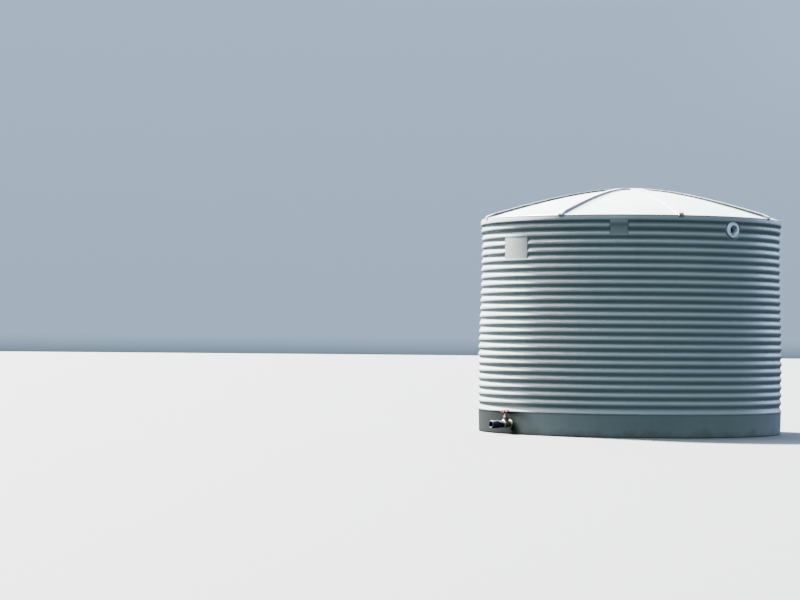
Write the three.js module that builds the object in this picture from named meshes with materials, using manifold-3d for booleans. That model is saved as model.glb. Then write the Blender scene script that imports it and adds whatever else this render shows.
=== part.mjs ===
// A ground-standing corrugated polyethylene rainwater tank, 22,500 litres, with its overflow and its tap.
// Millimetres, +Z up. The origin is on the ground, on the tank's axis. The overflow looks along +X and
// the tap along -Y. Pieces that touch keep a gap of 0.3 mm.

import * as THREE from "three";
import { mergeVertices } from "three/addons/utils/BufferGeometryUtils.js";
import Module from "manifold-3d";

const wasm = await Module();
wasm.setup();

const GAP = 0.3;
const SEGMENT_COUNT = 8;
const SEGMENT_ANGLE = (2 * Math.PI) / SEGMENT_COUNT;

// The wall: a smooth base band, then moulded ridges up to a plain rim. Water presses it out into a slight
// belly, so its radius changes with height.
const CREST_RADIUS = 1745;
const BELLY = 32;
const BELLY_HEIGHT = 750;
const BELLY_SPREAD_ABOVE = 800;
const BELLY_SPREAD_BELOW = 1100;
const BAND_TOP = 262;
const BAND_SHOULDER = 14;
const FOOT_ROUNDING = 12;
const RIDGE_COUNT = 23;
const RIDGE_PITCH = 90;
const FIRST_CREST = 364;
const RIDGE_DEPTH = 17;
const CREST_FLAT = 16;
const SKIN = 9;
const RIM_RADIUS = 1762;
const RIM_BOTTOM = 2432;
const INNER_HEIGHTS = [1900, 1300, BELLY_HEIGHT, 300];
const WALL_STEPS = 32;

// The roof: a low dome of eight fields between raised ribs that meet at a crown.
const ROOF_APEX = 2845;
const ROOF_FALL = 0.357;
const RIB_APEX = 2867;
const RIB_FALL = 0.3445;
const DOME_ROUNDING = 1000;
const ROOF_SKIN = 10;
const ROOF_RINGS = 6;
const RIB_WIDTH = 55;
const RIB_REACH = RIM_RADIUS + 2;
const RIB_END_DROP = 12;
const RIB_END_RUN = 42;
const CROWN_RADIUS = 77.7;
const CROWN_RISE = 3;
const CROWN_EDGE = 6;

const FLOOR_SKIN = 10;

// The wall segments that carry the overflow, the tap with the large pad, and the small pad.
const OVERFLOW_SEGMENT = 0;
const TAP_SEGMENT = 6;
const SMALL_PAD_SEGMENT = 7;

// Flat moulded pads, level with the ridges, each given by the angles and heights that it spans.
const PAD_PROUD = 2;
const LARGE_PAD = { centre: -89.35, width: 13.3, bottom: 1986, top: 2257 };
const SMALL_PAD = { centre: -45.3, width: 6.6, bottom: 2244, top: RIM_BOTTOM + 22 };

// The overflow, for 100 mm pipe, in a flat round boss just under the rim.
const OVERFLOW_HEIGHT = 2332;
const OVERFLOW_BORE = 52;
const OVERFLOW_TUBE = 55.2;
const OVERFLOW_INNER_END = 1672;
const OVERFLOW_OUTER_END = 1758;
const BOSS_RADIUS = 99;
const BOSS_FACE = 1733;
const FLANGE_RADIUS = 90;
const FLANGE_THICKNESS = 16;
const FLANGE_BEVEL = 7;
const OVERFLOW_NUT_RADIUS = 76;
const OVERFLOW_NUT_THICKNESS = 18;

// The tap: a gate valve for 50 mm pipe, with its stem leaning a little back from the overflow's side.
const TAP_HEIGHT = 118;
const TAP_LEAN = THREE.MathUtils.degToRad(15);
const NIPPLE_RADIUS = 30;
const NIPPLE_BORE = 23;
const NIPPLE_INSIDE = 65;
const OUTLET_FLANGE_RADIUS = 42;
const OUTLET_FLANGE_THICKNESS = 12;
const OUTLET_NUT_RADIUS = 48;
const OUTLET_NUT_THICKNESS = 20;
const END_RING_RADIUS = 45;
const END_RING_THICKNESS = 13;
const VALVE_LENGTH = 84;
const VALVE_END_RADIUS = 38;
const VALVE_WAIST_RADIUS = 35;
const VALVE_BELLY_RADIUS = 41;
const VALVE_END_WIDTH = 10;
const VALVE_WAIST_PLACE = 16;
const VALVE_BELLY_PLACE = 28;
const NECK_RADIUS = 28;
const NECK_TOP = 46;
const BONNET_FLANGE_RADIUS = 33;
const BONNET_FLANGE_THICKNESS = 12;
const BONNET_FOOT_RADIUS = 30;
const BONNET_FOOT_RISE = 6;
const BONNET_TOP_RADIUS = 25;
const BONNET_TOP = 92;
const PACKING_NUT_RADIUS = 20;
const PACKING_NUT_TOP = 108;
const STEM_RADIUS = 8;
const STEM_TOP = 157;
const HUB_BOTTOM = 132;
const HUB_TOP = 146;
const HUB_RADIUS = 14;
const WHEEL_RADIUS = 48;
const WHEEL_RIM = 6;
const WHEEL_RISE = 14;
const WHEEL_SPOKES = 4;
const SPOKE_WIDTH = 10;
const SPOKE_THICKNESS = 6;
const SPOKE_INTO_HUB = 3;
const WHEEL_NUT_RADIUS = 13;
const WHEEL_NUT_TOP = 154;

// The pipe coupling screwed to the tap, for pipe of 63 mm outside diameter.
const COUPLING_BORE = 23;
const COUPLING_SOCKET = 32;
const COUPLING_BODY_RADIUS = 36;
const COUPLING_HEX_RADIUS = 41;
const COUPLING_HEX_LENGTH = 30;
const COUPLING_NECK_LENGTH = 28;
const COUPLING_BODY_LENGTH = 120;
const COUPLING_SOCKET_START = 36;
const COUPLING_NUT_RADIUS = 45;
const COUPLING_NUT_LENGTH = 110;

const ROUND_STEPS = 20;
const HEX_SIDES = 6;
const MERGE_DISTANCE = 1e-3;

const FINISHES = {
  polyethylene: { color: 0xc4cecb, roughness: 0.55, metalness: 0 },
  white_plastic: { color: 0xe9ebea, roughness: 0.4, metalness: 0 },
  black_plastic: { color: 0x1b1c20, roughness: 0.5, metalness: 0 },
  dark_blue_plastic: { color: 0x1e2135, roughness: 0.5, metalness: 0 },
  bronze: { color: 0x8a6b45, roughness: 0.45, metalness: 1 },
  bright_brass: { color: 0xd8c9a8, roughness: 0.3, metalness: 1 },
  red_paint: { color: 0x9c2028, roughness: 0.5, metalness: 0 },
  steel: { color: 0x9a9c9e, roughness: 0.4, metalness: 1 },
};

const tank = new THREE.Group();

// Radius over the ridges at a height. The belly fades out upwards faster than downwards.
function crestRadius(z) {
  const spread = z > BELLY_HEIGHT ? BELLY_SPREAD_ABOVE : BELLY_SPREAD_BELOW;
  return CREST_RADIUS + BELLY * Math.exp(-(((z - BELLY_HEIGHT) / spread) ** 2));
}

// Radius of the smooth band below the ridges, which is drawn straight from its foot to its shoulder.
function bandRadius(z) {
  const share = (z - FOOT_ROUNDING) / (BAND_TOP - FOOT_ROUNDING);
  return THREE.MathUtils.lerp(crestRadius(0), crestRadius(BAND_TOP), share);
}

function valleyRadius(z) {
  return crestRadius(z) - RIDGE_DEPTH;
}

function innerRadius(z) {
  return valleyRadius(z) - SKIN;
}

// Height of a domed surface at a distance from the axis: level in the middle, then nearly straight.
function domeHeight(apex, fall, rho) {
  return apex - fall * (Math.hypot(rho, DOME_ROUNDING) - DOME_ROUNDING);
}

function roofTop(rho) {
  return domeHeight(ROOF_APEX, ROOF_FALL, rho);
}

function roofUnderside(rho) {
  return roofTop(rho) - ROOF_SKIN;
}

const INNER_AT_RIM = innerRadius(RIM_BOTTOM);

// How far the wall curves back at a distance to the side. A nut inside bears on it with its two sides.
function wallFallsBack(aside) {
  return aside * Math.tan(Math.PI / WALL_STEPS);
}

// Distances from the axis at which the roof's curve is drawn, from the crown out to the rim.
const roofRadii = [];
for (let i = 0; i < ROOF_RINGS; i++) {
  const share = i / (ROOF_RINGS - 1);
  roofRadii.push(THREE.MathUtils.lerp(CROWN_RADIUS + GAP, INNER_AT_RIM, share));
}
roofRadii.push(RIM_RADIUS);

// A closed three.js geometry as a solid that can be joined and cut.
function solidFrom(geometry) {
  const plain = geometry.clone();
  plain.deleteAttribute("normal");
  plain.deleteAttribute("uv");
  const merged = mergeVertices(plain, MERGE_DISTANCE);
  const vertProperties = merged.attributes.position.array;
  const triVerts = new Uint32Array(merged.index.array);
  return new wasm.Manifold(new wasm.Mesh({ numProp: 3, vertProperties, triVerts }));
}

// The other way round: a joined or cut solid as a three.js geometry.
function geometryFrom(solid) {
  const mesh = solid.getMesh();
  const geometry = new THREE.BufferGeometry();
  geometry.setAttribute("position", new THREE.BufferAttribute(mesh.vertProperties, 3));
  geometry.setIndex(new THREE.BufferAttribute(mesh.triVerts, 1));
  geometry.computeVertexNormals();
  return geometry;
}

// A named piece with a material of its own.
function addPiece(name, geometry, finish, parent = tank) {
  const mesh = new THREE.Mesh(geometry, new THREE.MeshStandardMaterial(FINISHES[finish]));
  mesh.name = name;
  parent.add(mesh);
  return mesh;
}

// A turned piece about +Z. The outline is a list of [radius, height], with the material on its left.
function turned(outline, steps) {
  const points = outline.map(([radius, height]) => new THREE.Vector2(radius, height));
  return new THREE.LatheGeometry(points, steps).rotateX(Math.PI / 2);
}

// A turned ring with a plain round hole, from one height to another.
function ring(bore, radius, bottom, top, steps = ROUND_STEPS) {
  const outline = [
    [bore, bottom],
    [radius, bottom],
    [radius, top],
    [bore, top],
    [bore, bottom],
  ];
  return turned(outline, steps);
}

// A six-sided nut with a round hole, its radius measured to the corners. The hole is drawn with two steps
// for each curve segment.
function hexNut(bore, radius, bottom, top) {
  const shape = new THREE.Shape();
  for (let i = 0; i < HEX_SIDES; i++) {
    const angle = (2 * Math.PI * i) / HEX_SIDES;
    const corner = [radius * Math.cos(angle), radius * Math.sin(angle)];
    if (i === 0) shape.moveTo(...corner);
    else shape.lineTo(...corner);
  }
  shape.closePath();
  const hole = new THREE.Path();
  hole.absarc(0, 0, bore, 0, 2 * Math.PI, true);
  shape.holes.push(hole);
  const settings = { depth: top - bottom, bevelEnabled: false, curveSegments: ROUND_STEPS / 2 };
  return new THREE.ExtrudeGeometry(shape, settings).translate(0, 0, bottom);
}

// A solid round bar about +Z, from one height to another.
function bar(radius, bottom, top, steps = ROUND_STEPS) {
  const geometry = new THREE.CylinderGeometry(radius, radius, top - bottom, steps);
  return geometry.rotateX(Math.PI / 2).translate(0, 0, (top + bottom) / 2);
}

// A wedge that stands on the axis and holds the angles within half of the centre angle, with its two flat
// sides moved in by inset. It is taller and wider than the tank, and only cuts other pieces to length.
function wedge(centre, half, inset) {
  const reach = 2 * RIM_RADIUS;
  const apex = inset / Math.sin(half);
  const shape = new THREE.Shape();
  shape.moveTo(apex, 0);
  shape.lineTo(apex + reach * Math.cos(half), -reach * Math.sin(half));
  shape.lineTo(apex + reach * Math.cos(half), reach * Math.sin(half));
  shape.closePath();
  const settings = { depth: 2 * RIB_APEX, bevelEnabled: false };
  const geometry = new THREE.ExtrudeGeometry(shape, settings);
  return solidFrom(geometry.translate(0, 0, -RIB_APEX / 2).rotateZ(centre));
}

// Turns a piece made about +Z to point along +X from the axis, at a height.
function towardsOverflow(geometry) {
  return geometry.rotateY(Math.PI / 2).translate(0, 0, OVERFLOW_HEIGHT);
}

// Turns a piece made about +Z to point along -Y from the axis, at the tap's height.
function towardsTap(geometry) {
  return geometry.rotateX(Math.PI / 2).translate(0, 0, TAP_HEIGHT);
}

// The wall's whole cross-section: ridged outside, plain inside, its top cut to lie under the roof.
function wallOutline() {
  const outline = [
    [innerRadius(0), 0],
    [crestRadius(0) - FOOT_ROUNDING, 0],
    [crestRadius(0), FOOT_ROUNDING],
    [crestRadius(BAND_TOP), BAND_TOP],
    [crestRadius(BAND_TOP) - BAND_SHOULDER / 2, BAND_TOP + BAND_SHOULDER],
  ];
  for (let i = 0; i < RIDGE_COUNT; i++) {
    const crest = FIRST_CREST + i * RIDGE_PITCH;
    const valley = crest - RIDGE_PITCH / 2;
    outline.push([valleyRadius(valley), valley]);
    outline.push([crestRadius(crest), crest - CREST_FLAT / 2]);
    outline.push([crestRadius(crest), crest + CREST_FLAT / 2]);
  }
  const lastValley = FIRST_CREST + (RIDGE_COUNT - 0.5) * RIDGE_PITCH;
  outline.push([valleyRadius(lastValley), lastValley]);
  outline.push([RIM_RADIUS, RIM_BOTTOM]);
  outline.push([RIM_RADIUS, roofUnderside(RIM_RADIUS) - GAP]);
  outline.push([INNER_AT_RIM, roofUnderside(INNER_AT_RIM) - GAP]);
  for (const z of INNER_HEIGHTS) outline.push([innerRadius(z), z]);
  outline.push([innerRadius(0), 0]);
  return outline;
}

// A flat pad that bridges the valleys between its lowest and highest ridge.
function pad({ centre, width, bottom, top }) {
  const face = (z) => crestRadius(z) + PAD_PROUD;
  const outline = [
    [valleyRadius(bottom) - SKIN / 2, bottom],
    [face(bottom), bottom],
    [face(top), top],
    [valleyRadius(top) - SKIN / 2, top],
    [valleyRadius(bottom) - SKIN / 2, bottom],
  ];
  const toRadians = THREE.MathUtils.degToRad;
  const plate = solidFrom(turned(outline, WALL_STEPS));
  return plate.intersect(wedge(toRadians(centre), toRadians(width / 2), 0));
}

// The segments are numbered from the overflow's, counter-clockwise seen from above.
function addWall() {
  const wholeWall = solidFrom(turned(wallOutline(), WALL_STEPS));
  const segments = [];
  for (let i = 0; i < SEGMENT_COUNT; i++) {
    segments.push(wholeWall.intersect(wedge(i * SEGMENT_ANGLE, SEGMENT_ANGLE / 2, GAP / 2)));
  }

  const bossFill = towardsOverflow(bar(BOSS_RADIUS, INNER_AT_RIM + SKIN / 2, BOSS_FACE));
  const bossFront = towardsOverflow(bar(BOSS_RADIUS, BOSS_FACE, RIB_REACH + GAP));
  const overflowHole = towardsOverflow(bar(OVERFLOW_TUBE + GAP, OVERFLOW_INNER_END, OVERFLOW_OUTER_END));
  segments[OVERFLOW_SEGMENT] = segments[OVERFLOW_SEGMENT]
    .add(solidFrom(bossFill))
    .subtract(solidFrom(bossFront))
    .subtract(solidFrom(overflowHole));

  const tapHole = towardsTap(bar(NIPPLE_RADIUS + GAP, INNER_AT_RIM, OUTLET_FLANGE_BACK));
  segments[TAP_SEGMENT] = segments[TAP_SEGMENT].add(pad(LARGE_PAD)).subtract(solidFrom(tapHole));
  segments[SMALL_PAD_SEGMENT] = segments[SMALL_PAD_SEGMENT].add(pad(SMALL_PAD));

  segments.forEach((solid, i) => addPiece(`wall_segment_${i + 1}`, geometryFrom(solid), "polyethylene"));
}

function addFloor() {
  const radius = innerRadius(0) - GAP;
  const outline = [
    [0, 0],
    [radius, 0],
    [radius, FLOOR_SKIN],
    [0, FLOOR_SKIN],
  ];
  addPiece("tank_floor", turned(outline, WALL_STEPS), "polyethylene");
}

// The eight fields lie between the ribs, over the wall segments.
function addRoofPanels() {
  const outline = [];
  for (const rho of roofRadii) outline.push([rho, roofUnderside(rho)]);
  for (const rho of roofRadii.toReversed()) outline.push([rho, roofTop(rho)]);
  outline.push(outline[0]);
  const wholeRoof = solidFrom(turned(outline, WALL_STEPS));
  for (let i = 0; i < SEGMENT_COUNT; i++) {
    const field = wedge(i * SEGMENT_ANGLE, SEGMENT_ANGLE / 2, RIB_WIDTH / 2 + GAP);
    const panel = wholeRoof.intersect(field);
    addPiece(`roof_panel_${i + 1}`, geometryFrom(panel), "polyethylene");
  }
}

// Each rib is its side view, from the crown to its sloped end at the rim, given its width.
function addRoofRibs() {
  const topAt = (rho) => domeHeight(RIB_APEX, RIB_FALL, rho);
  const slopeStart = RIB_REACH - RIB_END_RUN;
  const side = new THREE.Shape();
  side.moveTo(roofRadii[0], roofUnderside(roofRadii[0]));
  for (const rho of roofRadii.slice(1)) side.lineTo(rho, roofUnderside(rho));
  side.lineTo(RIB_REACH, roofUnderside(RIM_RADIUS));
  side.lineTo(RIB_REACH, topAt(RIB_REACH) - RIB_END_DROP);
  side.lineTo(slopeStart, topAt(slopeStart));
  for (const rho of roofRadii.toReversed().slice(1)) side.lineTo(rho, topAt(rho));
  side.closePath();
  const settings = { depth: RIB_WIDTH, bevelEnabled: false };
  for (let i = 0; i < SEGMENT_COUNT; i++) {
    const geometry = new THREE.ExtrudeGeometry(side, settings).translate(0, 0, -RIB_WIDTH / 2);
    const rib = addPiece(`roof_rib_${i + 1}`, geometry.rotateX(Math.PI / 2), "polyethylene");
    rib.rotation.z = (i + 0.5) * SEGMENT_ANGLE;
  }
}

function addRoofCrown() {
  const bottom = roofUnderside(CROWN_RADIUS);
  const outline = [
    [0, bottom],
    [CROWN_RADIUS, bottom],
    [CROWN_RADIUS, RIB_APEX - CROWN_EDGE],
    [CROWN_RADIUS - CROWN_EDGE, RIB_APEX],
    [0, RIB_APEX + CROWN_RISE],
  ];
  addPiece("roof_crown", turned(outline, ROUND_STEPS), "polyethylene");
}

function addOverflow() {
  const flangeBack = BOSS_FACE + GAP;
  const flangeFace = flangeBack + FLANGE_THICKNESS;
  const flangeOutline = [
    [OVERFLOW_TUBE + GAP, flangeBack],
    [FLANGE_RADIUS, flangeBack],
    [FLANGE_RADIUS, flangeFace - FLANGE_BEVEL],
    [FLANGE_RADIUS - FLANGE_BEVEL, flangeFace],
    [OVERFLOW_TUBE + GAP, flangeFace],
    [OVERFLOW_TUBE + GAP, flangeBack],
  ];
  addPiece("overflow_flange", towardsOverflow(turned(flangeOutline, ROUND_STEPS)), "white_plastic");

  const tube = ring(OVERFLOW_BORE, OVERFLOW_TUBE, OVERFLOW_INNER_END, OVERFLOW_OUTER_END);
  addPiece("overflow_tube", towardsOverflow(tube), "white_plastic");

  const nutFace = INNER_AT_RIM - wallFallsBack(OVERFLOW_NUT_RADIUS) - GAP;
  const nut = ring(OVERFLOW_TUBE + GAP, OVERFLOW_NUT_RADIUS, nutFace - OVERFLOW_NUT_THICKNESS, nutFace);
  addPiece("overflow_backnut", towardsOverflow(nut), "white_plastic");
}

// Each fitting of the tap starts where the one before it ends, counted outwards from the tank's axis. The
// first bears on the band with its upper edge, where the band is widest.
const OUTLET_FLANGE_BACK = bandRadius(TAP_HEIGHT + OUTLET_FLANGE_RADIUS) + GAP;
const INLET_RING_BACK = OUTLET_FLANGE_BACK + OUTLET_FLANGE_THICKNESS + GAP;
const VALVE_BACK = INLET_RING_BACK + END_RING_THICKNESS + GAP;
const OUTLET_RING_BACK = VALVE_BACK + VALVE_LENGTH + GAP;
const COUPLING_BACK = OUTLET_RING_BACK + END_RING_THICKNESS + GAP;

function addOutlet() {
  const flangeFace = OUTLET_FLANGE_BACK + OUTLET_FLANGE_THICKNESS;
  const flange = ring(NIPPLE_RADIUS + GAP, OUTLET_FLANGE_RADIUS, OUTLET_FLANGE_BACK, flangeFace);
  addPiece("outlet_flange", towardsTap(flange), "black_plastic");

  const nippleEnd = innerRadius(TAP_HEIGHT) - NIPPLE_INSIDE;
  const nipple = ring(NIPPLE_BORE, NIPPLE_RADIUS, nippleEnd, VALVE_BACK - GAP);
  addPiece("outlet_nipple", towardsTap(nipple), "bright_brass");

  const nutFace = innerRadius(TAP_HEIGHT - OUTLET_NUT_RADIUS) - wallFallsBack(OUTLET_NUT_RADIUS) - GAP;
  const nut = hexNut(NIPPLE_RADIUS + GAP, OUTLET_NUT_RADIUS, nutFace - OUTLET_NUT_THICKNESS, nutFace);
  addPiece("outlet_backnut", towardsTap(nut), "black_plastic");
}

// The leaning frame of the valve's stem: its +Z runs up the stem from the middle of the valve.
function stemGroup() {
  const group = new THREE.Group();
  group.position.set(0, -(VALVE_BACK + VALVE_LENGTH / 2), TAP_HEIGHT);
  group.rotation.y = -TAP_LEAN;
  tank.add(group);
  return group;
}

function addValve() {
  const inletRing = ring(NIPPLE_RADIUS + GAP, END_RING_RADIUS, INLET_RING_BACK, VALVE_BACK - GAP);
  addPiece("valve_inlet_ring", towardsTap(inletRing), "bright_brass");
  const outletRing = ring(COUPLING_BORE, END_RING_RADIUS, OUTLET_RING_BACK, COUPLING_BACK - GAP);
  addPiece("valve_outlet_ring", towardsTap(outletRing), "bright_brass");

  // The body's barrel is solid where the shut gate fills it.
  const barrelOutline = [
    [0, 0],
    [VALVE_END_RADIUS, 0],
    [VALVE_END_RADIUS, VALVE_END_WIDTH],
    [VALVE_WAIST_RADIUS, VALVE_WAIST_PLACE],
    [VALVE_BELLY_RADIUS, VALVE_BELLY_PLACE],
    [VALVE_BELLY_RADIUS, VALVE_LENGTH - VALVE_BELLY_PLACE],
    [VALVE_WAIST_RADIUS, VALVE_LENGTH - VALVE_WAIST_PLACE],
    [VALVE_END_RADIUS, VALVE_LENGTH - VALVE_END_WIDTH],
    [VALVE_END_RADIUS, VALVE_LENGTH],
    [0, VALVE_LENGTH],
  ];
  const barrel = towardsTap(turned(barrelOutline, ROUND_STEPS).translate(0, 0, VALVE_BACK));
  const neck = bar(NECK_RADIUS, 0, NECK_TOP).rotateY(-TAP_LEAN);
  neck.translate(0, -(VALVE_BACK + VALVE_LENGTH / 2), TAP_HEIGHT);
  addPiece("valve_body", geometryFrom(solidFrom(barrel).add(solidFrom(neck))), "bronze");
}

function addBonnet(stem) {
  const bottom = NECK_TOP + GAP;
  const flangeTop = bottom + BONNET_FLANGE_THICKNESS;
  const bore = STEM_RADIUS + GAP;
  const outline = [
    [bore, bottom],
    [BONNET_FLANGE_RADIUS, bottom],
    [BONNET_FLANGE_RADIUS, flangeTop],
    [BONNET_FOOT_RADIUS, flangeTop + BONNET_FOOT_RISE],
    [BONNET_TOP_RADIUS, BONNET_TOP],
    [bore, BONNET_TOP],
    [bore, bottom],
  ];
  addPiece("valve_bonnet", turned(outline, ROUND_STEPS), "bronze", stem);
  const packingNut = hexNut(bore, PACKING_NUT_RADIUS, BONNET_TOP + GAP, PACKING_NUT_TOP);
  addPiece("valve_packing_nut", packingNut, "bronze", stem);
}

// The wheel is dished: its rim stands higher than its hub, on sloping spokes. The rim's section has as
// many sides as a nut.
function handwheel() {
  const rimHeight = (HUB_BOTTOM + HUB_TOP) / 2 + WHEEL_RISE;
  const rimOutline = [];
  for (let i = 0; i <= HEX_SIDES; i++) {
    const angle = (2 * Math.PI * i) / HEX_SIDES;
    rimOutline.push([WHEEL_RADIUS + WHEEL_RIM * Math.cos(angle), rimHeight + WHEEL_RIM * Math.sin(angle)]);
  }
  let wheel = solidFrom(ring(STEM_RADIUS + GAP, HUB_RADIUS, HUB_BOTTOM, HUB_TOP));
  wheel = wheel.add(solidFrom(turned(rimOutline, ROUND_STEPS)));

  const spokeStart = HUB_RADIUS - SPOKE_INTO_HUB;
  const run = WHEEL_RADIUS - spokeStart;
  const slope = Math.atan2(WHEEL_RISE, run);
  const length = Math.hypot(run, WHEEL_RISE);
  for (let i = 0; i < WHEEL_SPOKES; i++) {
    const spoke = new THREE.BoxGeometry(length, SPOKE_WIDTH, SPOKE_THICKNESS);
    spoke.translate(length / 2, 0, 0).rotateY(-slope);
    spoke.translate(spokeStart, 0, (HUB_BOTTOM + HUB_TOP) / 2);
    wheel = wheel.add(solidFrom(spoke.rotateZ((2 * Math.PI * (i + 0.5)) / WHEEL_SPOKES)));
  }
  return geometryFrom(wheel);
}

function addHandwheel(stem) {
  addPiece("valve_stem", bar(STEM_RADIUS, NECK_TOP + GAP, STEM_TOP, ROUND_STEPS / 2), "steel", stem);
  addPiece("valve_handwheel", handwheel(), "red_paint", stem);
  const nut = hexNut(STEM_RADIUS + GAP, WHEEL_NUT_RADIUS, HUB_TOP + GAP, WHEEL_NUT_TOP);
  addPiece("valve_wheel_nut", nut, "steel", stem);
}

function addCoupling() {
  const socketStart = COUPLING_BACK + COUPLING_SOCKET_START;
  const bodyEnd = COUPLING_BACK + COUPLING_BODY_LENGTH;
  const bodyOutline = [
    [COUPLING_BORE, COUPLING_BACK],
    [COUPLING_HEX_RADIUS, COUPLING_BACK],
    [COUPLING_HEX_RADIUS, COUPLING_BACK + COUPLING_HEX_LENGTH],
    [COUPLING_BODY_RADIUS, COUPLING_BACK + COUPLING_HEX_LENGTH],
    [COUPLING_BODY_RADIUS, bodyEnd],
    [COUPLING_SOCKET, bodyEnd],
    [COUPLING_SOCKET, socketStart],
    [COUPLING_BORE, socketStart],
    [COUPLING_BORE, COUPLING_BACK],
  ];
  addPiece("coupling_body", towardsTap(turned(bodyOutline, ROUND_STEPS)), "black_plastic");

  const nutStart = COUPLING_BACK + COUPLING_HEX_LENGTH + COUPLING_NECK_LENGTH + GAP;
  const nutEnd = nutStart + COUPLING_NUT_LENGTH;
  const nutOutline = [
    [COUPLING_BODY_RADIUS + GAP, nutStart],
    [COUPLING_NUT_RADIUS, nutStart],
    [COUPLING_NUT_RADIUS, nutEnd],
    [COUPLING_SOCKET, nutEnd],
    [COUPLING_SOCKET, bodyEnd + GAP],
    [COUPLING_BODY_RADIUS + GAP, bodyEnd + GAP],
    [COUPLING_BODY_RADIUS + GAP, nutStart],
  ];
  addPiece("coupling_nut", towardsTap(turned(nutOutline, ROUND_STEPS)), "dark_blue_plastic");
}

addWall();
addFloor();
addRoofPanels();
addRoofRibs();
addRoofCrown();
addOverflow();
addOutlet();
addValve();
const stem = stemGroup();
addBonnet(stem);
addHandwheel(stem);
addCoupling();

export default tank;
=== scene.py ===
"""A ground-standing corrugated polyethylene rainwater tank, with its overflow and its tap.

Metres, +Z up. The origin is on the ground, on the tank's axis. The overflow looks along +X and the tap
along -Y. The driving sizes repeat those of the solids that the pieces stand for.
"""

import math

import bmesh
import bpy
import numpy as np
from mathutils import Matrix, Vector


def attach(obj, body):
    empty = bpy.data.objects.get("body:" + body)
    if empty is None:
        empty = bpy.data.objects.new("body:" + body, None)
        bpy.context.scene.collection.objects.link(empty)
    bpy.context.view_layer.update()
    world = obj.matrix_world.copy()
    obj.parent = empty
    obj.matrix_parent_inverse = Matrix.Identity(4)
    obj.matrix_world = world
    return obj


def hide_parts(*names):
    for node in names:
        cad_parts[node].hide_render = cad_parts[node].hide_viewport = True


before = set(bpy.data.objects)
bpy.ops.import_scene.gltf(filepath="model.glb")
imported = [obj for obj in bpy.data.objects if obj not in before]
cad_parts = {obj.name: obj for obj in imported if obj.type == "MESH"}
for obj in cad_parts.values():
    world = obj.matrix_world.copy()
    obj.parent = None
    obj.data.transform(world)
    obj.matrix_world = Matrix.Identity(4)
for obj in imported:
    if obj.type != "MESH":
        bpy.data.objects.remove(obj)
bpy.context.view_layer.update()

GAP = 0.0003
SEGMENT_COUNT = 8
SEGMENT_ANGLE = 2 * math.pi / SEGMENT_COUNT

# The wall: a smooth base band, then moulded ridges up to a plain rim, all on a slight belly.
CREST_RADIUS = 1.745
BELLY = 0.0319
BELLY_HEIGHT = 0.750
BELLY_SPREAD_ABOVE = 0.800
BELLY_SPREAD_BELOW = 1.100
BAND_TOP = 0.262
FOOT_ROUNDING = 0.012
RIDGE_PITCH = 0.090
RIDGE_COUNT = 23
FIRST_CREST = 0.364
RIDGE_DEPTH = 0.017
CREST_HALF = 0.004
SKIN = 0.009
RIM_RADIUS = 1.762
RIM_BOTTOM = 2.425
RIM_LEAN = 0.009
FIRST_VALLEY = FIRST_CREST - RIDGE_PITCH / 2
LAST_VALLEY = FIRST_VALLEY + RIDGE_COUNT * RIDGE_PITCH

# The wall's mesh: degrees from column to column, and rows to a ridge.
COLUMN_STEP = 1.8
ROWS_TO_A_RIDGE = 10

# The wall leans out a little under the rim.
FLARE = 0.016
FLARE_START = 2.210

# The shoulder of the band: a small bead that overhangs the band and casts a thin line of shade on it.
BEAD_HEIGHT = BAND_TOP
BEAD_SPREAD = 0.011
BEAD_PROUD = 0.0035

# The roof: a low dome between raised ribs that meet at a crown.
ROOF_APEX = 2.845
ROOF_FALL = 0.357
RIB_APEX = 2.867
RIB_FALL = 0.3445
DOME_ROUNDING = 1.000
ROOF_SKIN = 0.010
ROOF_EDGE_ROUNDING = 0.007
RIB_WIDTH = 0.055
RIB_TOP_WIDTH = 0.047
RIB_FILLET = 0.005
RIB_CORNER = 0.0035
RIB_ROOT = 0.008
RIB_REACH = RIM_RADIUS + 0.002
RIB_END_DROP = 0.011
RIB_END_RUN = 0.090
RIB_NOSE = 0.011
RIB_NOSE_HALF = 0.029
CROWN_RADIUS = 0.0777
CROWN_RISE = 0.003
CROWN_BOTTOM = 2.82

# Flat moulded pads, their faces just behind the crests: angles in degrees, heights in metres. The ridges
# fade out within RIDGE_TAPER beside a pad and within RIDGE_FADE inside its bottom and top.
PAD_PROUD = -0.002
PADS = (
    {"centre": -89.35, "width": 13.3, "bottom": 1.982, "top": 2.257},
    {"centre": -45.3, "width": 6.6, "bottom": 2.244, "top": RIM_BOTTOM + 0.022},
)
PAD_WALL = 0.004
PAD_EDGE = 0.010
RIDGE_TAPER = 0.004
RIDGE_FADE = 0.020
FADE_ABOVE_BOTTOM = 0.008
FADE_BELOW_TOP = 0.012

# Upright lines where the quarters of the mould met, in degrees.
MOULD_LINES = (-142.6, -52.6, 37.4, 127.4)
MOULD_LINE_PROUD = 0.0009
MOULD_LINE_HALF = 0.0022

# The overflow, in a flat round boss just under the rim.
OVERFLOW_HEIGHT = 2.332
OVERFLOW_BORE = 0.052
OVERFLOW_TUBE = 0.0552
OVERFLOW_INNER_END = 1.672
OVERFLOW_OUTER_END = 1.758
BOSS_RADIUS = 0.099
BOSS_FACE = 1.733
BOSS_EDGE = 0.004
BOSS_FADE = 0.014
BOSS_BELOW_RIM = (0.014, 0.002)
FLANGE_RADIUS = 0.090
FLANGE_THICKNESS = 0.016
GASKET_THICKNESS = 0.003
NOTCH_ANGLE = math.radians(-35)
NOTCH_HALF = math.radians(3.2)
NOTCH_DEPTH = 0.006

# Where the holes for the overflow and the tap start and end, from the tank's axis.
OVERFLOW_CUT = (1.65, 1.80)
TAP_CUT = (1.70, 1.80)

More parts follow.
